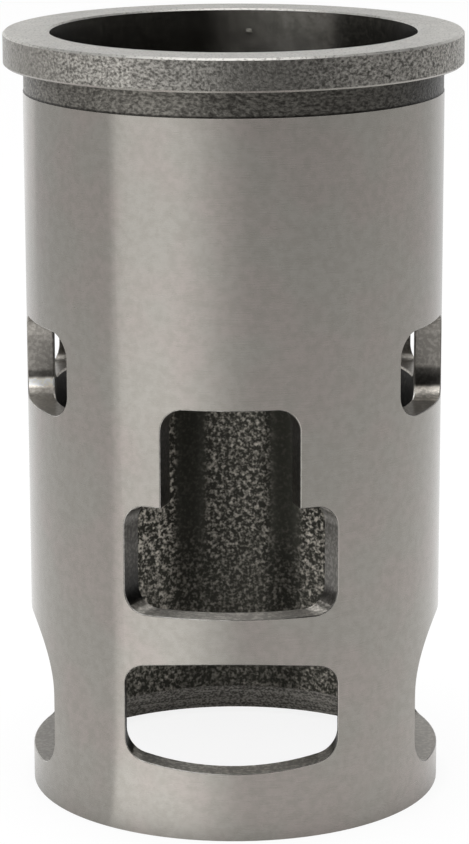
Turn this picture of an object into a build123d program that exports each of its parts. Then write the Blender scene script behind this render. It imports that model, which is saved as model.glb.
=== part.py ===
from build123d import *
import os
from math import asin, cos, isclose, radians, sin

# A ported cylinder liner for a 125-class two-stroke single: one piece of cast iron, turned,
# bored and milled. A flange at the deck end hangs it in the barrel.
# Frame: the origin is at the centre of the bottom end and +Z runs up the bore to the deck.
# The intake side faces -Y, the exhaust side +Y, and the transfer ports face -X and +X.
# Port heights are depths below the deck, the way port timing is measured. All sizes are mm.

os.makedirs("parts", exist_ok=True)

# Turned and bored sizes
total_length = 114.6
bore_diameter = 54.0
bore_edge_break = 0.25
wall_thickness = 4.0
flange_thickness = 4.8
flange_overhang = 2.85          # how far the flange stands proud of the body
flange_edge_break = 0.3
relief_width = 3.9              # undercut below the flange
relief_depth = 0.08
relief_corner_radius = 0.4
lead_in_length = 4.7            # taper that the piston rings ride up at the bottom end
mouth_land = 0.55               # wall left at the bottom end, outside the taper

# Intake window: an inverted T whose side walls point at the bore's axis.
# Its chords are taken on the outside of the wall.
intake_floor_depth = 81.0
intake_foot_height = 16.1
intake_foot_chord = 30.8
intake_neck_height = 14.6
intake_neck_chord = 20.0
intake_corner_radius = 3.4

# Skirt window below the intake window, milled straight in, with a bowed head and sill
skirt_window_bar = 6.75         # wall left between the two windows
skirt_window_height = 16.6
skirt_window_width = 30.95
skirt_window_bow = 1.5          # how much lower the head lies at its ends than at its middle
skirt_window_corner_radius = 3.3

# Windows milled through both sides of the wall, the transfer ports and the skirt cut-outs
side_turn = 0.9                 # how far round the axis their cutters sit from square, in degrees

# Transfer ports
transfer_depth = 41.8
front_transfer_start = -19.4    # from the axis to the port wall nearest the intake
front_transfer_width = 17.4
front_transfer_height = 12.6
front_transfer_corner_radius = 3.6
transfer_bridge = 3.2           # wall left between the two ports of one side
rear_transfer_width = 13.6
rear_transfer_height = 11.0
rear_transfer_corner_radius = 2.5

# Exhaust port: one wide window with a raised roof
exhaust_depth = 28.8
exhaust_width = 38.0
exhaust_height = 25.5
exhaust_roof_rise = 1.6         # how much higher the roof lies at its middle than at its ends
exhaust_roof_radius = 8.0
exhaust_floor_radius = 5.0

# Skirt cut-outs, one on each side, that open the wall to the transfer passages
bottom_ring_height = 5.4        # ring left whole below the cut-outs
cutout_width = 30.6
cutout_height = 21.8
cutout_roof_radius = 10.0
cutout_floor_radius = 4.8

# Edges of every window
outer_edge_break = 0.15
ring_edge_break = 0.25          # wider in the bore, where the piston rings pass

# How far each cutter runs past the wall, and where the turned section lies, in degrees
# from +X: on the stretch of wall between the exhaust and transfer ports
cutter_overrun = 6.0
section_angle = 40.0

bore_radius = bore_diameter / 2
body_radius = bore_radius + wall_thickness
flange_radius = body_radius + flange_overhang
relief_radius = body_radius - relief_depth
mouth_radius = body_radius - mouth_land
flange_underside = total_length - flange_thickness
relief_foot = flange_underside - relief_width
cutter_reach = flange_radius + cutter_overrun


def radial_cutter(chord, bottom_depth, height):
    """A window cutter on the intake side whose two side walls point at the bore's axis."""
    half_angle = asin(chord / 2 / body_radius)
    near = bore_radius - cutter_overrun
    near_x, near_y = near * sin(half_angle), -near * cos(half_angle)
    far_x, far_y = cutter_reach * sin(half_angle), -cutter_reach * cos(half_angle)
    with BuildPart() as cutter:
        with BuildSketch(Plane.XY.offset(total_length - bottom_depth)):
            with BuildLine():
                Polyline((-near_x, near_y), (near_x, near_y), (far_x, far_y), (-far_x, far_y), close=True)
            make_face()
        extrude(amount=height)
        level_edges = cutter.edges().filter_by(Axis.Z, reverse=True)
        fillet(level_edges.filter_by(Axis.X, reverse=True), intake_corner_radius)
    return cutter.part


intake_foot = radial_cutter(intake_foot_chord, intake_floor_depth, intake_foot_height)
# The neck starts at the foot's floor, so its own bottom corners leave no trace.
neck_cut_height = intake_foot_height + intake_neck_height
intake_neck = radial_cutter(intake_neck_chord, intake_floor_depth, neck_cut_height)

section_x = (cos(radians(section_angle)), sin(radians(section_angle)), 0)
section_normal = (sin(radians(section_angle)), -cos(radians(section_angle)), 0)

with BuildPart() as cylinder_liner:
    # Turned section, as radius and height
    with BuildSketch(Plane(origin=(0, 0, 0), x_dir=section_x, z_dir=section_normal)):
        with BuildLine():
            Polyline(
                (mouth_radius, 0),
                (body_radius, 0),
                (body_radius, relief_foot),
                (relief_radius, relief_foot),
                (relief_radius, flange_underside),
                (flange_radius - flange_edge_break, flange_underside),
                (flange_radius, flange_underside + flange_edge_break),
                (flange_radius, total_length - flange_edge_break),
                (flange_radius - flange_edge_break, total_length),
                (bore_radius + bore_edge_break, total_length),
                (bore_radius, total_length - bore_edge_break),
                (bore_radius, lead_in_length),
                close=True,
            )
        make_face()
        undercut = vertices().sort_by_distance((relief_radius, flange_underside, 0))[0]
        fillet(undercut, relief_corner_radius)
    revolve(axis=Axis.Z)

    # Intake window
    add(intake_foot, mode=Mode.SUBTRACT)
    add(intake_neck, mode=Mode.SUBTRACT)

    # Skirt window, cut from the axis out through the intake side
    with BuildSketch(Plane.XZ):
        side = skirt_window_width / 2
        head = total_length - intake_floor_depth - skirt_window_bar
        sill = head - skirt_window_height
        head_end, sill_end = head - skirt_window_bow, sill + skirt_window_bow
        with BuildLine():
            ThreePointArc((-side, head_end), (0, head), (side, head_end))
            Line((side, head_end), (side, sill_end))
            ThreePointArc((side, sill_end), (0, sill), (-side, sill_end))
            Line((-side, sill_end), (-side, head_end))
        make_face()
        fillet(vertices(), skirt_window_corner_radius)
    extrude(amount=cutter_reach, mode=Mode.SUBTRACT)

    # Front and rear transfer ports
    turn = radians(side_turn)
    along, across = (cos(turn), sin(turn), 0), (-sin(turn), cos(turn), 0)
    side_plane = Plane(origin=(0, 0, 0), x_dir=across, z_dir=along)
    transfer_roof = total_length - transfer_depth
    front_middle = front_transfer_start + front_transfer_width / 2
    with BuildSketch(side_plane):
        with Locations((front_middle, transfer_roof - front_transfer_height / 2)):
            RectangleRounded(front_transfer_width, front_transfer_height, front_transfer_corner_radius)
    extrude(amount=cutter_reach, both=True, mode=Mode.SUBTRACT)

    rear_start = front_transfer_start + front_transfer_width + transfer_bridge
    rear_middle = rear_start + rear_transfer_width / 2
    with BuildSketch(side_plane):
        with Locations((rear_middle, transfer_roof - rear_transfer_height / 2)):
            RectangleRounded(rear_transfer_width, rear_transfer_height, rear_transfer_corner_radius)
    extrude(amount=cutter_reach, both=True, mode=Mode.SUBTRACT)

    # Exhaust port, cut from the axis out through the exhaust side
    with BuildSketch(Plane.XZ):
        side = exhaust_width / 2
        roof = total_length - exhaust_depth
        roof_end = roof - exhaust_roof_rise
        floor = roof - exhaust_height
        with BuildLine():
            ThreePointArc((-side, roof_end), (0, roof), (side, roof_end))
            Polyline((side, roof_end), (side, floor), (-side, floor), (-side, roof_end))
        make_face()
        fillet(vertices().group_by(Axis.Y)[-1], exhaust_roof_radius)
        fillet(vertices().group_by(Axis.Y)[0], exhaust_floor_radius)
    extrude(amount=-cutter_reach, mode=Mode.SUBTRACT)

    # Skirt cut-outs
    with BuildSketch(side_plane):
        with Locations((0, bottom_ring_height + cutout_height / 2)):
            Rectangle(cutout_width, cutout_height)
        fillet(vertices().group_by(Axis.Y)[-1], cutout_roof_radius)
        fillet(vertices().group_by(Axis.Y)[0], cutout_floor_radius)
    extrude(amount=cutter_reach, both=True, mode=Mode.SUBTRACT)

    # Window edges, outside and in the bore
    for wall_radius, edge_break in ((body_radius, outer_edge_break), (bore_radius, ring_edge_break)):
        round_faces = faces().filter_by(GeomType.CYLINDER)
        same_radius = round_faces.filter_by(lambda face: isclose(face.radius, wall_radius))
        wall = same_radius.sort_by(SortBy.AREA)[-1]
        chamfer([edge for window in wall.inner_wires() for edge in window.edges()], edge_break)

cylinder_liner.part.label = "cylinder_liner"
export_step(cylinder_liner.part, "parts/cylinder_liner.step")
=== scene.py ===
import math

import bpy
import numpy as np
from mathutils import Matrix, Vector

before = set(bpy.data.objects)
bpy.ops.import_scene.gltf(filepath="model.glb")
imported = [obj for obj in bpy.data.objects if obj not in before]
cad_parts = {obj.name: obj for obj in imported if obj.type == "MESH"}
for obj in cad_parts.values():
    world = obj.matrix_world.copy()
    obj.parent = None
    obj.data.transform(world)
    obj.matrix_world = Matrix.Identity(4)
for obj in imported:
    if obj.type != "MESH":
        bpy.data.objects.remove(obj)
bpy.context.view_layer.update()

# A cylinder liner of cast iron, stood on its bottom end on a pale studio floor. The turned,
# bored and milled shape is the CAD solid. This script gives each cut of it its own finish,
# and sets the floor, the lamps and the camera. Inside the liner's material lengths are in mm,
# from the bottom end or from the bore's axis: x runs to the right, y to the exhaust side and
# z up to the deck. Everywhere else they are in metres.

MM_PER_M = 1000.0

# Heights where the cuts of the liner start or end
DECK_TOP = 114.6
FLANGE_SEAT = 109.8
RELIEF_FOOT = 105.9
INTAKE_ROOF = 64.3
INTAKE_NECK_FOOT = 49.7
INTAKE_FLOOR = 33.6
SKIRT_SILL = 10.25
RING_TOP = 5.4
LEAD_IN_TOP = 4.7
WINDOWS_FROM = 5.2
WINDOWS_TO = 100.0

# Distances from the axis
FLANGE_RADIUS = 33.85
BODY_RADIUS = 31.0
BORE_RADIUS = 27.0

# Bands of painted light and shade on the bridge where it meets the floor of the front transfer
# ports, as the heights they lie between, how soft they end, and how many times brighter they are
LEFT_BRIDGE_PAINTED_LIGHT = ((62.8, 63.9, 0.35, 0.38), (61.5, 62.7, 0.30, 5.6), (64.2, 68.4, 0.30, 0.85))
RIGHT_BRIDGE_PAINTED_LIGHT = ((61.6, 64.2, 0.30, 0.18), (59.0, 61.5, 0.30, 2.1))

# Stretches of the flange's rim that are duller or brighter, as the x they lie between and how
# many times brighter they are
RIM_STRETCHES = ((-12.0, -4.0, 0.88), (-1.0, 11.0, 0.82), (15.0, 21.0, 1.22))

# Colours of the iron, as red, green, blue and opacity
GROUND_GREY = (0.266, 0.254, 0.232, 1.0)
GROUND_WARM = (0.277, 0.250, 0.232, 1.0)
GROUND_MOTTLE = (0.226, 0.214, 0.192, 1.0)
GROUND_LINE = (0.310, 0.296, 0.272, 1.0)
SAND_HOLLOW = (0.080, 0.076, 0.068, 1.0)
SAND_GRAIN = (0.415, 0.398, 0.366, 1.0)
SAND_WORN = (0.195, 0.186, 0.169, 1.0)
SAND_PIT = (0.055, 0.052, 0.046, 1.0)
SAND_SCALE = (0.215, 0.206, 0.188, 1.0)
RELIEF_SCALE = (0.050, 0.047, 0.042, 1.0)
RELIEF_TORN = (0.190, 0.181, 0.162, 1.0)
DECK_DULL = (0.535, 0.523, 0.494, 1.0)
DECK_BRIGHT = (0.610, 0.597, 0.565, 1.0)
DECK_SPECK = (0.190, 0.182, 0.165, 1.0)
BORE_TOP_DARK = (0.060, 0.058, 0.050, 1.0)
# Painted reflection high in the bore
BORE_TOP_PAINTED_REFLECTION = (0.165, 0.158, 0.143, 1.0)
# Painted shade in two bands on the bore's exhaust side
BORE_PAINTED_SHADE_LEFT = (0.062, 0.061, 0.052, 1.0)
BORE_PAINTED_SHADE_RIGHT = (0.084, 0.083, 0.070, 1.0)
BORE_SKIRT = (0.046, 0.045, 0.038, 1.0)
BORE_DARK = (0.034, 0.033, 0.028, 1.0)
# Torn grain of the bore, painted bright as glints
BORE_FLECK = (0.600, 0.560, 0.490, 1.0)
# Painted highlight on the rim of a ding
BORE_DING_HIGHLIGHT = (0.520, 0.500, 0.450, 1.0)
MILLED_TORN = (0.150, 0.143, 0.130, 1.0)
MILLED_BRIGHT = (0.330, 0.315, 0.290, 1.0)
MILLED_SMOOTH = (0.222, 0.207, 0.188, 1.0)
TURNED_GROOVE = (0.130, 0.124, 0.111, 1.0)
TURNED_RIDGE = (0.500, 0.476, 0.436, 1.0)
EDGE_NICK = (0.300, 0.290, 0.268, 1.0)
# Bright metal at the edge breaks, partly a painted highlight
EDGE_BRIGHT_AND_HIGHLIGHT = (0.520, 0.505, 0.475, 1.0)

WHITE = (1.0, 1.0, 1.0)
COOL_WHITE = (0.86, 0.93, 1.0)


# Small helpers that put shader nodes into a tree and return the output of the last one

def wire(tree, socket, value):
    """Sets a node's input to a number or a colour, or links it to another node's output."""
    if isinstance(value, bpy.types.NodeSocket):
        tree.links.new(value, socket)
    else:
        socket.default_value = value


def calc(tree, operation, first, second=0.0):
    """One step of arithmetic on one number or two."""
    node = tree.nodes.new("ShaderNodeMath")
    node.operation = operation
    wire(tree, node.inputs[0], first)
    wire(tree, node.inputs[1], second)
    return node.outputs[0]


def times(tree, first, *others):
    """The product of all the numbers. For masks it is 1 only where all of them are 1."""
    for other in others:
        first = calc(tree, "MULTIPLY", first, other)
    return first


def rise(tree, value, low, high):
    """0 below low, 1 above high, and a smooth step between them."""
    node = tree.nodes.new("ShaderNodeMapRange")
    node.interpolation_type = "SMOOTHSTEP"
    wire(tree, node.inputs["Value"], value)
    node.inputs["From Min"].default_value = low
    node.inputs["From Max"].default_value = high
    return node.outputs["Result"]


def fall(tree, value, low, high):
    """1 below low, 0 above high, and a smooth step between them."""
    return calc(tree, "SUBTRACT", 1.0, rise(tree, value, low, high))


def between(tree, value, low, high, soft):
    """1 between low and high, and 0 outside, with edges as wide as soft on either side."""
    return times(tree, rise(tree, value, low - soft, low + soft),
                 fall(tree, value, high - soft, high + soft))


def blend(tree, factor, plain, other):
    """Goes from one number to another by factor."""
    node = tree.nodes.new("ShaderNodeMix")
    wire(tree, node.inputs["Factor"], factor)
    wire(tree, node.inputs["A"], plain)
    wire(tree, node.inputs["B"], other)
    return node.outputs["Result"]


def gains(tree, *changes):
    """The product of several gains, each of which counts only where its own mask is 1."""
    return times(tree, *[blend(tree, mask, 1.0, gain) for mask, gain in changes])


def tint(tree, factor, plain, other):
    """Goes from one colour to another by factor."""
    node = tree.nodes.new("ShaderNodeMix")
    node.data_type = "RGBA"
    wire(tree, node.inputs[0], factor)
    wire(tree, node.inputs[6], plain)
    wire(tree, node.inputs[7], other)
    return node.outputs[2]


def scaled(tree, colour, amount):
    """A colour made lighter or darker by a factor."""
    node = tree.nodes.new("ShaderNodeVectorMath")
    node.operation = "SCALE"
    wire(tree, node.inputs[0], colour)
    wire(tree, node.inputs["Scale"], amount)
    return node.outputs[0]


def grain(tree, place, scale, detail=2.0, roughness=0.5, stretch=(1.0, 1.0, 1.0)):
    """Noise from 0 to 1. Scale counts its features in one mm, and stretch scales each axis."""
    mapping = tree.nodes.new("ShaderNodeMapping")
    mapping.inputs["Scale"].default_value = stretch
    wire(tree, mapping.inputs["Vector"], place)
    node = tree.nodes.new("ShaderNodeTexNoise")
    node.inputs["Scale"].default_value = scale
    node.inputs["Detail"].default_value = detail
    node.inputs["Roughness"].default_value = roughness
    wire(tree, node.inputs["Vector"], mapping.outputs[0])
    return node.outputs["Fac"]


def unsigned(tree, value):
    """The size of a number, whatever its sign."""
    return calc(tree, "ABSOLUTE", value)


def off_axis(tree, x, y):
    """Distance from the upright axis: the root of x squared plus y squared."""
    return calc(tree, "SQRT", calc(tree, "ADD", times(tree, x, x), times(tree, y, y)))


def to_side(tree, x, y):
    """How much further out a point lies sideways than fore and aft: size of x less size of y."""
    return calc(tree, "SUBTRACT", unsigned(tree, x), unsigned(tree, y))


def left_and_right(tree, mask, x):
    """The parts of a mask on the -X and on the +X side, which meet over one mm at the middle."""
    return times(tree, mask, fall(tree, x, -0.5, 0.5)), times(tree, mask, rise(tree, x, -0.5, 0.5))


def xyz(tree, vector):
    """The three coordinates of a vector."""
    node = tree.nodes.new("ShaderNodeSeparateXYZ")
    wire(tree, node.inputs[0], vector)
    return tuple(node.outputs)


def place_in_mm(tree):
    """The point on the liner in mm, its distance from the axis, how far its face looks away from
    the axis, which is the normal's share along x and y over that distance, and how far up."""
    coords = tree.nodes.new("ShaderNodeTexCoord")
    place = scaled(tree, coords.outputs["Object"], MM_PER_M)
    x, y, z = xyz(tree, place)
    radius = off_axis(tree, x, y)
    surface = tree.nodes.new("ShaderNodeNewGeometry")
    facing_x, facing_y, upward = xyz(tree, surface.outputs["Normal"])
    along = calc(tree, "ADD", times(tree, x, facing_x), times(tree, y, facing_y))
    return place, x, y, z, radius, calc(tree, "DIVIDE", along, radius), upward


# The finishes of the liner. A finish is a colour, a roughness and a height in mm. The small
# functions between them each work out one part of a finish.

def ground_outside(tree, place, x, z):
    """The ground body: fine lines round it, which are noise drawn out along x and y and packed
    along z, over a soft mottle and faint warm stains. It is duller beside the intake window."""
    lines = grain(tree, place, scale=1.0, detail=3.0, roughness=0.6, stretch=(0.05, 0.05, 5.0))
    scratches = grain(tree, place, scale=1.0, stretch=(0.25, 0.25, 9.0))
    stains = grain(tree, place, scale=0.09)
    mottle = grain(tree, place, scale=0.80, detail=3.0, roughness=0.6)
    mottle_share = 0.62
    line_share = 0.06
    colour = tint(tree, rise(tree, stains, 0.40, 0.62), GROUND_GREY, GROUND_WARM)
    mottled = times(tree, rise(tree, mottle, 0.34, 0.68), mottle_share)
    colour = tint(tree, mottled, colour, GROUND_MOTTLE)
    lined = times(tree, rise(tree, lines, 0.30, 0.72), line_share)
    colour = tint(tree, lined, colour, GROUND_LINE)
    beside_window = times(tree, between(tree, z, 12.0, 60.0, soft=6.0),
                          between(tree, x, -17.0, 4.0, soft=3.0))
    colour = scaled(tree, colour, gains(tree, (beside_window, 0.92)))
    line_height = 0.0008
    mottle_height = 0.0012
    roughness = blend(tree, rise(tree, scratches, 0.3, 0.7), 0.255, 0.275)
    height = calc(tree, "ADD", times(tree, lines, line_height), times(tree, mottle, mottle_height))
    return colour, roughness, height


def rough_rim(tree, place, x):
    """The flange's rim as cast and blasted: sandy grains with dark pits between them. It is worn
    smooth at the far left and scaled over near the middle, and its colour holds painted light:
    darkest a little right of the middle and paler towards both ends."""
    sand = grain(tree, place, scale=2.5, roughness=0.6, stretch=(0.8, 0.8, 1.1))
    pits = grain(tree, place, scale=1.2)
    worn_share = 0.65
    scale_share = 0.45
    colour = tint(tree, rise(tree, sand, 0.27, 0.74), SAND_HOLLOW, SAND_GRAIN)
    worn = times(tree, fall(tree, x, -30.0, -21.0), worn_share)
    colour = tint(tree, worn, colour, SAND_WORN)
    pit_share = blend(tree, rise(tree, x, 8.0, 20.0), 0.4, 0.9)
    colour = tint(tree, times(tree, rise(tree, pits, 0.56, 0.70), pit_share), colour, SAND_PIT)
    scaled_over = times(tree, between(tree, x, -2.0, 9.0, soft=4.0), scale_share)
    colour = tint(tree, scaled_over, colour, SAND_SCALE)
    # Painted light: darkest at x = 7 mm, paler towards both ends of the rim
    least_lit_x = 7.0
    from_least_lit = unsigned(tree, calc(tree, "SUBTRACT", x, least_lit_x))
    painted_light_gain = blend(tree, rise(tree, from_least_lit, 4.0, 34.0), 0.70, 1.42)
    stretches = [(between(tree, x, low, high, soft=3.0), gain) for low, high, gain in RIM_STRETCHES]
    colour = scaled(tree, colour, times(tree, painted_light_gain, gains(tree, *stretches)))
    grain_height = 0.20
    roughness = blend(tree, sand, 0.42, 0.50)
    return colour, roughness, times(tree, sand, grain_height)


def rough_relief(tree, place, x, z):
    """The undercut below the flange: dark scale with short torn grains. Its colour holds painted
    light and shade: lighter towards -X, where the light comes from, darker in the middle and at the
    +X end, and a painted shadow line along its foot below the step."""
    torn = grain(tree, place, scale=2.2, roughness=0.6, stretch=(0.7, 0.7, 1.2))
    colour = tint(tree, rise(tree, torn, 0.30, 0.76), RELIEF_SCALE, RELIEF_TORN)
    # Painted light and shade: lighter towards -X, darker in the middle and at the +X end, and a
    # painted shadow along the foot
    painted_light_to_left = blend(tree, rise(tree, x, -30.0, 30.0), 1.45, 0.70)
    middle = between(tree, x, -5.0, 5.0, soft=4.0)
    right_end = rise(tree, x, 20.0, 29.0)
    foot = fall(tree, z, RELIEF_FOOT + 0.15, RELIEF_FOOT + 0.40)
    painted_light_gain = times(tree, painted_light_to_left, gains(tree, (middle, 0.84), (right_end, 0.52), (foot, 0.35)))
    grain_height = 0.18
    roughness = blend(tree, torn, 0.42, 0.50)
    return scaled(tree, colour, painted_light_gain), roughness, times(tree, torn, grain_height)


def turned_deck(tree, place, x):
    """The deck face: a smooth faced ring, paler than the body, with dark specks and a little
    brighter at its two sides."""
    soft = grain(tree, place, scale=0.35, detail=3.0, roughness=0.6)
    speck = grain(tree, place, scale=2.6)
    speck_share = 0.65
    colour = tint(tree, rise(tree, soft, 0.35, 0.68), DECK_DULL, DECK_BRIGHT)
    specked = times(tree, rise(tree, speck, 0.52, 0.68), speck_share)
    colour = tint(tree, specked, colour, DECK_SPECK)
    at_sides = rise(tree, unsigned(tree, x), 26.0, 31.0)
    colour = scaled(tree, colour, gains(tree, (at_sides, 1.11)))
    speck_height = 0.02
    roughness = blend(tree, soft, 0.36, 0.48)
    return colour, roughness, times(tree, speck, speck_height)


def above_skirt(tree, z):
    """1 in the bore above the skirt window, and 0 below about the middle of that window."""
    return rise(tree, z, 20.0, 34.0)


def bore_ground(tree, place, x, z, exhaust_side, painted_shade_bands, near_deck):
    """The dark metal of the bore under its flecks: dark and smooth in two bands of painted shade on
    the exhaust side, a little paler down in the skirt, and cloudy near the deck, where a band on
    the exhaust side is a painted reflection of the front-left light."""
    cloudy = grain(tree, place, scale=0.45, detail=4.0, roughness=0.65)
    # Painted reflection: a paler band high in the bore on the exhaust side
    painted_reflection = times(tree, between(tree, x, -3.0, 15.5, soft=2.5), exhaust_side)
    top = tint(tree, painted_reflection, BORE_TOP_DARK, BORE_TOP_PAINTED_REFLECTION)
    top = scaled(tree, top, blend(tree, rise(tree, cloudy, 0.38, 0.64), 0.84, 1.18))
    # Painted shade: the two dark bands, darker on the -X side
    smooth = tint(tree, rise(tree, x, -1.0, 1.0), BORE_PAINTED_SHADE_LEFT, BORE_PAINTED_SHADE_RIGHT)
    rough = tint(tree, above_skirt(tree, z), BORE_SKIRT, BORE_DARK)
    return tint(tree, near_deck, tint(tree, painted_shade_bands, rough, smooth), top)


def fleck_strength(tree, aside, z, painted_shade_bands, near_deck):
    """How plainly the torn flecks of the bore show, as painted glints where light falls: most at
    its sides, hardly at all in the bands of painted shade and near the deck, and less in the skirt."""
    in_middle = 0.85
    at_sides = 1.55
    in_painted_shade_bands = 0.12
    below_deck = 0.08
    in_skirt = 0.68
    strength = blend(tree, rise(tree, aside, 0.32, 0.40), in_middle, at_sides)
    strength = blend(tree, painted_shade_bands, strength, in_painted_shade_bands)
    return times(tree, strength, blend(tree, near_deck, 1.0, below_deck),
                 blend(tree, above_skirt(tree, z), in_skirt, 1.0))


def ding_with_painted_light(tree, colour, x, z, exhaust_side):
    """A ding high in the bore on the exhaust side, drawn in colour only: a painted highlight on its
    rim above painted shade in its hollow.
    """
    ding = times(tree, between(tree, x, 1.40, 2.20, soft=0.12), exhaust_side)
    # Painted highlight on the ding's upper rim and painted shade in its hollow
    rim = times(tree, ding, between(tree, z, 110.95, 111.50, soft=0.10))
    ding_painted_shade = times(tree, ding, between(tree, z, 110.55, 110.90, soft=0.10))
    return scaled(tree, tint(tree, rim, colour, BORE_DING_HIGHLIGHT), gains(tree, (ding_painted_shade, 0.55)))


def bored_wall(tree, place, x, y, z):
    """The bore before its last hone: coarse torn grains over a dark ground, as two sizes of noise
    added up, the grains painted bright as glints. It is smoother near the deck, where the boring
    tool cuts best, and has painted shade below the rear transfer ports."""
    torn = grain(tree, place, scale=1.45, detail=1.0)
    fine = grain(tree, place, scale=2.6, detail=1.0)
    torn_share = 0.6
    fine_share = 0.4
    mixed = calc(tree, "ADD", times(tree, torn, torn_share), times(tree, fine, fine_share))
    near_deck = rise(tree, z, 78.0, 98.0)
    exhaust_side = rise(tree, y, -1.0, 1.0)
    aside = unsigned(tree, calc(tree, "DIVIDE", x, BORE_RADIUS))
    painted_shade_bands = times(tree, between(tree, aside, 0.19, 0.37, soft=0.03), exhaust_side,
                  above_skirt(tree, z))
    ground = bore_ground(tree, place, x, z, exhaust_side, painted_shade_bands, near_deck)
    # The flecks are torn grain painted bright as glints
    flecks = times(tree, rise(tree, mixed, 0.42, 0.80),
                   fleck_strength(tree, aside, z, painted_shade_bands, near_deck))
    colour = tint(tree, flecks, ground, BORE_FLECK)
    # Painted shade on the bore below the rear transfer ports
    painted_shade_below_ports = times(tree, rise(tree, aside, 0.80, 0.86), between(tree, z, 40.0, 62.0, soft=0.3),
                     rise(tree, y, 1.0, 2.0))
    colour = scaled(tree, colour, gains(tree, (painted_shade_below_ports, 0.12)))
    colour = ding_with_painted_light(tree, colour, x, z, rise(tree, y, 0.0, 1.0))
    roughness = blend(tree, near_deck, blend(tree, mixed, 0.32, 0.38), 0.24)
    grain_height = blend(tree, near_deck, 0.02, 0.01)
    return colour, roughness, times(tree, mixed, grain_height)


def bridge_painted_light(tree, x, y, z):
    """Painted light and shade on the bridge's wall where it meets the floor of the front transfer
    ports: a step of painted shade above a strip of painted highlight, lower on the +X side."""
    by_bridge = between(tree, y, -6.2, -1.4, soft=0.3)
    left, right = left_and_right(tree, by_bridge, x)
    changes = []
    for side, bands in ((left, LEFT_BRIDGE_PAINTED_LIGHT), (right, RIGHT_BRIDGE_PAINTED_LIGHT)):
        for low, high, soft, gain in bands:
            changes.append((times(tree, side, between(tree, z, low, high, soft)), gain))
    return gains(tree, *changes)


def intake_painted_light(tree, x, z, level):
    """Painted light and shade on the upright walls and the floor corners of the intake window:
    painted shade on the -X side, deepest low down, painted light high on the +X side and a little
    shade low on it, a painted highlight on the burr at the -X floor corner, painted light at the +X
    corner, painted shade in its neck, and painted light on the skirt window's sill."""
    upright = times(tree, fall(tree, z, INTAKE_NECK_FOOT + 1.3, INTAKE_NECK_FOOT + 3.3),
                    calc(tree, "SUBTRACT", 1.0, level))
    left, right = left_and_right(tree, upright, x)
    low = fall(tree, z, INTAKE_FLOOR + 2.4, INTAKE_FLOOR + 11.4)
    right_gain = blend(tree, low, 1.45, 0.85)
    at_floor = between(tree, z, INTAKE_FLOOR - 0.6, INTAKE_FLOOR + 1.5, soft=0.3)
    burr_highlight = times(tree, between(tree, x, -14.3, -11.0, soft=0.5), at_floor)
    corner_painted_light = times(tree, rise(tree, x, 9.0, 12.0), at_floor)
    neck = times(tree, between(tree, z, INTAKE_NECK_FOOT + 0.2, INTAKE_ROOF - 0.3, soft=0.2),
                 between(tree, x, -10.8, 10.8, soft=0.2))
    sill = times(tree, between(tree, z, SKIRT_SILL - 1.25, SKIRT_SILL + 3.25, soft=0.3),
                 fall(tree, unsigned(tree, x), 15.6, 16.0))
    # Painted light and shade on the intake window and the skirt window's sill
    return gains(tree, (times(tree, left, low), 0.10), (left, 0.82), (right, right_gain),
                 (burr_highlight, 1.25), (corner_painted_light, 1.6), (neck, 0.65), (sill, 1.15))


def cutout_painted_light(tree, x, z, radius, at_sides):
    """Painted light and shade on the walls at the two sides: painted shade on the shelf on the
    ring, the ears at its ends a little darker on the -X side and lighter on the +X side, and a
    painted highlight on the lip of the side windows in the bore."""
    on_shelf = calc(tree, "MAXIMUM", between(tree, z, RING_TOP + 2.1, RING_TOP + 2.9, soft=0.25),
                    fall(tree, z, RING_TOP, RING_TOP + 1.0))
    shelf = times(tree, on_shelf, at_sides)
    ears = times(tree, fall(tree, z, RING_TOP + 4.6, RING_TOP + 5.6), at_sides)
    ear_gain = blend(tree, rise(tree, x, -1.0, 1.0), 0.94, 1.18)
    lip = times(tree, at_sides, fall(tree, radius, BORE_RADIUS + 0.2, BORE_RADIUS + 0.3))
    # Painted shade on the shelf, painted light on the ears, and a painted highlight on the lip
    return gains(tree, (shelf, 0.80), (ears, ear_gain), (lip, 1.8))


def looks_level(tree, upward):
    """1 on faces that look up or down, and 0 on upright ones."""
    return rise(tree, unsigned(tree, upward), 0.55, 0.80)


def milled_wall(tree, place, x, y, z, radius, upward):
    """The walls of the windows and ports: smoother cuts with a little torn grain. The level ones
    are painted brighter than the upright ones, the ones at the two sides are smoother, and bands of
    painted light and shade lie on the bridges, in the intake window and at the side cut-outs."""
    torn = grain(tree, place, scale=1.8, roughness=0.55)
    sweep = grain(tree, place, scale=0.35)
    sweep_share = 0.4
    side_share = 0.50
    level = looks_level(tree, upward)
    at_sides = rise(tree, to_side(tree, x, y), 2.0, 6.0)
    colour = tint(tree, rise(tree, torn, 0.42, 0.66), MILLED_TORN, MILLED_BRIGHT)
    smooth = calc(tree, "MAXIMUM", times(tree, sweep, sweep_share),
                  times(tree, at_sides, side_share))
    colour = tint(tree, smooth, colour, MILLED_SMOOTH)
    # Painted light and shade, with level faces painted brighter
    painted_light_gain = times(tree, bridge_painted_light(tree, x, y, z), intake_painted_light(tree, x, z, level),
                 cutout_painted_light(tree, x, z, radius, at_sides), gains(tree, (level, 1.6)))
    grain_height = 0.02
    roughness = blend(tree, torn, 0.27, 0.36)
    return scaled(tree, colour, painted_light_gain), roughness, times(tree, torn, grain_height)


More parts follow.
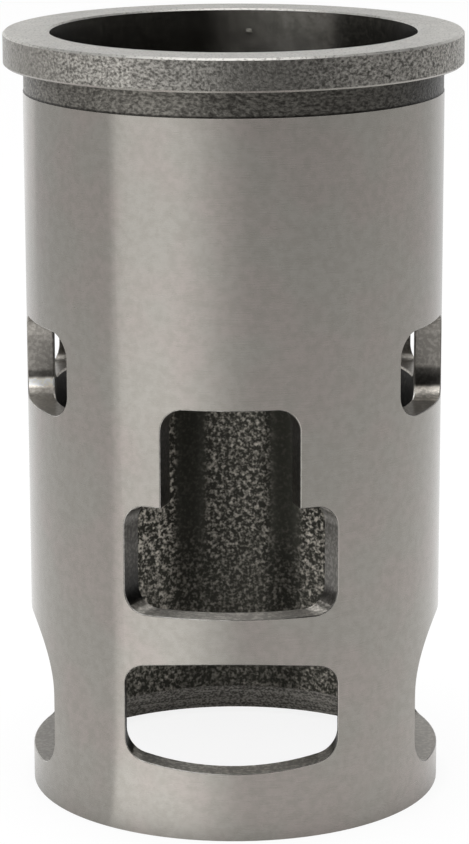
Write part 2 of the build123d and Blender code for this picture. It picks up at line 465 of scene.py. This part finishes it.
def turned_lead_in(tree, place):
    """The taper at the bottom of the bore: turned grooves with torn grain between them."""
    rings = grain(tree, place, scale=1.0, stretch=(0.06, 0.06, 2.6))
    torn = grain(tree, place, scale=2.4)
    ring_share = 0.3
    torn_share = 0.7
    mixed = calc(tree, "ADD", times(tree, rings, ring_share), times(tree, torn, torn_share))
    colour = tint(tree, rise(tree, mixed, 0.40, 0.62), TURNED_GROOVE, TURNED_RIDGE)
    groove_height = 0.06
    roughness = blend(tree, mixed, 0.42, 0.58)
    return colour, roughness, times(tree, mixed, groove_height)


def edge_metal_and_highlight(tree, place, x):
    """The small edge breaks: bright metal, partly a painted highlight, painted brighter on the -X
    side of the windows and darker on +X.
    """
    nicks = grain(tree, place, scale=1.1, roughness=0.6)
    colour = tint(tree, rise(tree, nicks, 0.35, 0.62), EDGE_NICK, EDGE_BRIGHT_AND_HIGHLIGHT)
    # Painted light: brighter on the -X side, darker on +X
    colour = scaled(tree, colour, blend(tree, rise(tree, x, -1.0, 1.0), 0.80, 0.26))
    nick_height = 0.02
    roughness = blend(tree, nicks, 0.30, 0.44)
    return colour, roughness, times(tree, nicks, nick_height)


def lay(tree, mask, under, over):
    """Lays one finish over another where its mask is 1."""
    return (tint(tree, mask, under[0], over[0]), blend(tree, mask, under[1], over[1]),
            blend(tree, mask, under[2], over[2]))


def where_cut(tree, z, radius, outward, upward):
    """1 on each kind of cut and 0 elsewhere, told apart by the distance from the axis, the
    height, and how far the face looks away from the axis or up."""
    inward = calc(tree, "MULTIPLY", outward, -1.0)
    among_windows = between(tree, z, WINDOWS_FROM, WINDOWS_TO, soft=0.1)
    in_wall = between(tree, radius, BORE_RADIUS + 0.03, BODY_RADIUS - 0.14, soft=0.01)
    in_edge_break = between(tree, radius, BODY_RADIUS - 0.15, BODY_RADIUS - 0.06, soft=0.02)
    at_bore = fall(tree, radius, BORE_RADIUS + 0.03, BORE_RADIUS + 0.05)
    at_mouth = fall(tree, z, LEAD_IN_TOP - 0.15, LEAD_IN_TOP + 0.15)
    below_flange = between(tree, z, RELIEF_FOOT - 0.02, FLANGE_SEAT + 0.02, soft=0.04)
    outside_bore = rise(tree, radius, BODY_RADIUS - 2.0, BODY_RADIUS - 1.5)
    above_seat = rise(tree, z, FLANGE_SEAT - 0.1, FLANGE_SEAT + 0.1)
    at_rim = rise(tree, radius, FLANGE_RADIUS - 0.35, FLANGE_RADIUS - 0.25)
    at_top = rise(tree, z, DECK_TOP - 0.40, DECK_TOP - 0.25)
    return {
        "windows": times(tree, in_wall, among_windows),
        "edges": times(tree, in_edge_break, among_windows),
        "bore": times(tree, at_bore, rise(tree, inward, 0.80, 0.90)),
        "lead_in": times(tree, at_mouth, rise(tree, inward, 0.2, 0.5)),
        "undercut": times(tree, below_flange, outside_bore),
        "rim": times(tree, at_rim, above_seat, rise(tree, outward, 0.75, 0.90)),
        "deck": times(tree, at_top, rise(tree, upward, 0.3, 0.6)),
    }


def plane_vector(tree, x, y):
    """A level vector from its x and its y."""
    node = tree.nodes.new("ShaderNodeCombineXYZ")
    wire(tree, node.inputs[0], x)
    wire(tree, node.inputs[1], y)
    return node.outputs[0]


def every_way(tree, place):
    """A direction picked anew at each point, about as long as the body is wide."""
    scatter = tree.nodes.new("ShaderNodeTexWhiteNoise")
    wire(tree, scatter.inputs["Vector"], place)
    centred = tree.nodes.new("ShaderNodeVectorMath")
    centred.operation = "SUBTRACT"
    wire(tree, centred.inputs[0], scatter.outputs["Color"])
    centred.inputs[1].default_value = (0.5, 0.5, 0.5)
    return scaled(tree, centred.outputs[0], 2.0 * BODY_RADIUS)


def groove_direction(tree, place, x, y, upward, in_wall, no_lay):
    """Which way the tool marks run: round the axis, as (-y, x), on turned faces and on the sills
    and heads of the windows, straight out from the axis, as (x, y), on their upright walls, and
    every way at once on the faces that have no lay."""
    round_axis = plane_vector(tree, times(tree, y, -1.0), x)
    outwards = plane_vector(tree, x, y)
    level = times(tree, in_wall, looks_level(tree, upward))
    upright = times(tree, in_wall, calc(tree, "SUBTRACT", 1.0, level))
    at_sides = rise(tree, to_side(tree, x, y), -1.0, 1.0)
    no_lay = calc(tree, "MAXIMUM", no_lay, times(tree, level, at_sides))
    milled = tint(tree, upright, round_axis, outwards)
    return tint(tree, no_lay, milled, every_way(tree, place))


def cast_iron():
    """The liner's grey cast iron: every cut has its own finish, laid over the ground body. The
    grooves run round the axis, so the sheen is drawn out across them."""
    material = bpy.data.materials.new("cast_iron_finishes")
    material.use_nodes = True
    tree = material.node_tree
    shader = tree.nodes["Principled BSDF"]
    shader.inputs["Metallic"].default_value = 1.0
    shader.inputs["Anisotropic"].default_value = 0.96
    shader.inputs["Anisotropic Rotation"].default_value = 0.25

    place, x, y, z, radius, outward, upward = place_in_mm(tree)
    cut = where_cut(tree, z, radius, outward, upward)
    finish = ground_outside(tree, place, x, z)
    for mask, over in (
        (cut["windows"], milled_wall(tree, place, x, y, z, radius, upward)),
        (cut["edges"], edge_metal_and_highlight(tree, place, x)),
        (cut["bore"], bored_wall(tree, place, x, y, z)),
        (cut["lead_in"], turned_lead_in(tree, place)),
        (cut["undercut"], rough_relief(tree, place, x, z)),
        (cut["rim"], rough_rim(tree, place, x)),
        (cut["deck"], turned_deck(tree, place, x)),
    ):
        finish = lay(tree, mask, finish, over)

    colour, roughness, height = finish
    wire(tree, shader.inputs["Base Color"], colour)
    wire(tree, shader.inputs["Roughness"], roughness)
    bump = tree.nodes.new("ShaderNodeBump")
    bump.inputs["Strength"].default_value = 1.0
    bump.inputs["Distance"].default_value = 1.0 / MM_PER_M
    wire(tree, bump.inputs["Height"], height)
    wire(tree, shader.inputs["Normal"], bump.outputs[0])
    blasted_scatter = 0.3
    blasted = times(tree, calc(tree, "MAXIMUM", cut["rim"], cut["undercut"]), blasted_scatter)
    no_lay = calc(tree, "MAXIMUM", cut["deck"], blasted)
    grooves = groove_direction(tree, place, x, y, upward, cut["windows"], no_lay)
    wire(tree, shader.inputs["Tangent"], grooves)
    return material


# The studio, in metres

def front_left_light(tree, sideways, ahead):
    """How much of the front-left light comes from one direction: all of it from a crisp edge on
    the left, fading out past straight ahead. The direction is the angle whose tangent is
    sideways over ahead."""
    across = calc(tree, "ARCTAN2", sideways, ahead)
    begins = rise(tree, across, math.radians(-69.0), math.radians(-66.0))
    return times(tree, begins, fall(tree, across, math.radians(-38.0), math.radians(14.0)))


def pale_floor():
    """The studio floor: white where the camera or the metal sees it, with the shadow kept. What
    the metal sees dims with distance, and glows more in a fan towards the front left."""
    material = bpy.data.materials.new("pale_floor")
    material.use_nodes = True
    tree = material.node_tree
    paint = tree.nodes["Principled BSDF"]
    paint.inputs["Base Color"].default_value = (0.86, 0.86, 0.86, 1.0)
    paint.inputs["Roughness"].default_value = 0.9
    paint.inputs["Specular IOR Level"].default_value = 0.0
    glow = tree.nodes.new("ShaderNodeEmission")
    glow.inputs["Color"].default_value = (*WHITE, 1.0)
    rays = tree.nodes.new("ShaderNodeLightPath")
    coords = tree.nodes.new("ShaderNodeTexCoord")
    x, y = xyz(tree, coords.outputs["Object"])[:2]
    reach = off_axis(tree, x, y)
    past_bore = rise(tree, reach, 0.027, 0.045)
    mirrored = times(tree, rays.outputs["Is Glossy Ray"], past_bore)
    near_strength = 1.32
    far_strength = 0.74
    lit = blend(tree, rise(tree, reach, 0.02, 0.60), near_strength, far_strength)
    fan_starts_at_y = -0.0175
    fan_gain = 1.9
    fan = front_left_light(tree, x, calc(tree, "SUBTRACT", fan_starts_at_y, y))
    lit = times(tree, lit, gains(tree, (fan, fan_gain)))
    wire(tree, glow.inputs["Strength"], blend(tree, rays.outputs["Is Glossy Ray"], 1.0, lit))
    seen = calc(tree, "MAXIMUM", rays.outputs["Is Camera Ray"], mirrored)
    glow_share = 0.86
    mix = tree.nodes.new("ShaderNodeMixShader")
    wire(tree, mix.inputs[0], times(tree, seen, glow_share))
    wire(tree, mix.inputs[1], paint.outputs[0])
    wire(tree, mix.inputs[2], glow.outputs[0])
    wire(tree, tree.nodes["Material Output"].inputs["Surface"], mix.outputs[0])
    return material


def studio_floor(half_width):
    """A flat sheet at height 0: the four corners of a square, each half_width from the middle."""
    mesh = bpy.data.meshes.new("studio_floor")
    corners = np.array([(-1, -1, 0), (1, -1, 0), (1, 1, 0), (-1, 1, 0)], dtype=float) * half_width
    mesh.from_pydata(corners.tolist(), [], [(0, 1, 2, 3)])
    floor = bpy.data.objects.new("studio_floor", mesh)
    bpy.context.scene.collection.objects.link(floor)
    mesh.materials.append(pale_floor())
    return floor


def white_surround():
    """The room: white round the horizon and to the camera, with a dim ceiling for the metal that
    leans to the front and the right, and a lit panel at the front left below it."""
    world = bpy.data.worlds.new("white_surround")
    bpy.context.scene.world = world
    world.use_nodes = True
    tree = world.node_tree
    tree.nodes.clear()
    rays = tree.nodes.new("ShaderNodeLightPath")
    coords = tree.nodes.new("ShaderNodeTexCoord")
    x, y, z = xyz(tree, coords.outputs["Generated"])
    lean_forward = 0.25
    lean_right = 0.15
    above = calc(tree, "SUBTRACT", z, times(tree, y, lean_forward))
    above = calc(tree, "ADD", above, times(tree, x, lean_right))
    dimmed = times(tree, rise(tree, above, 0.20, 0.52), rays.outputs["Is Glossy Ray"])
    panel = times(tree, front_left_light(tree, x, times(tree, y, -1.0)),
                  fall(tree, z, 0.68, 0.84), rays.outputs["Is Glossy Ray"])
    ceiling_strength = 0.08
    panel_strength = 0.85
    background = tree.nodes.new("ShaderNodeBackground")
    background.inputs["Color"].default_value = (*WHITE, 1.0)
    wire(tree, background.inputs["Strength"],
         calc(tree, "ADD", blend(tree, dimmed, 1.0, ceiling_strength),
              times(tree, panel, panel_strength)))
    output = tree.nodes.new("ShaderNodeOutputWorld")
    wire(tree, output.inputs["Surface"], background.outputs[0])


def soft_panel(name, centre, facing, across, width, height, radiance, colour=WHITE):
    """A lit panel at centre that shines along facing, with its width along across. Its power is
    pi times its area and its brightness, and the camera doesn't see it."""
    lamp = bpy.data.lights.new(name, "AREA")
    lamp.shape = "RECTANGLE"
    lamp.size = width
    lamp.size_y = height
    lamp.energy = radiance * math.pi * width * height
    lamp.color = colour
    back = -Vector(facing).normalized()
    along = Vector(across).normalized()
    up = back.cross(along).normalized()
    along = up.cross(back)
    panel = bpy.data.objects.new(name, lamp)
    turned = Matrix((along, up, back)).transposed().to_4x4()
    panel.matrix_world = Matrix.Translation(centre) @ turned
    panel.visible_camera = False
    bpy.context.scene.collection.objects.link(panel)
    return panel


def studio_lamps():
    """A wide panel overhead, a cool one high at the front left, and two dim ones at the back."""
    soft_panel("top_panel", centre=(-0.02, -0.05, 0.75), facing=(0.03, 0.07, -1.0),
               across=(1.0, 0.0, 0.0), width=0.55, height=0.55, radiance=3.0)
    soft_panel("high_left_panel", centre=(-0.212, -0.272, 0.389), facing=(0.212, 0.272, -0.300),
               across=(0.788, -0.616, 0.0), width=0.28, height=0.28, radiance=0.6,
               colour=COOL_WHITE)
    soft_panel("back_left_panel", centre=(-0.22, 0.38, 0.12), facing=(0.5, -0.86, 0.0),
               across=(0.86, 0.5, 0.0), width=0.26, height=0.22, radiance=0.35)
    soft_panel("back_right_panel", centre=(0.22, 0.38, 0.12), facing=(-0.5, -0.86, 0.0),
               across=(0.86, -0.5, 0.0), width=0.26, height=0.22, radiance=0.10)


def studio_camera():
    """Just above the deck and a step back, with a long lens, looking a little down: turned about
    the axis, then tilted below the level, then rolled about its own line of sight."""
    distance = 0.4806
    height = 0.1718
    turn = math.radians(1.2)
    tilt = math.radians(90.0 - 13.623)
    roll = math.radians(-0.139)
    lens = bpy.data.cameras.new("studio_camera")
    lens.lens = 139.82
    lens.sensor_width = 36.0
    camera = bpy.data.objects.new("studio_camera", lens)
    stand = (distance * math.sin(turn), -distance * math.cos(turn), height)
    camera.matrix_world = (Matrix.Translation(stand) @ Matrix.Rotation(turn, 4, "Z")
                           @ Matrix.Rotation(tilt, 4, "X") @ Matrix.Rotation(roll, 4, "Z"))
    bpy.context.scene.collection.objects.link(camera)
    bpy.context.scene.camera = camera
    return camera


liner = bpy.data.objects["cylinder_liner"]
liner.material_slots[0].material = cast_iron()

studio_floor(half_width=1.5)
white_surround()
studio_lamps()
studio_camera()
bpy.context.scene.view_settings.view_transform = "Standard"
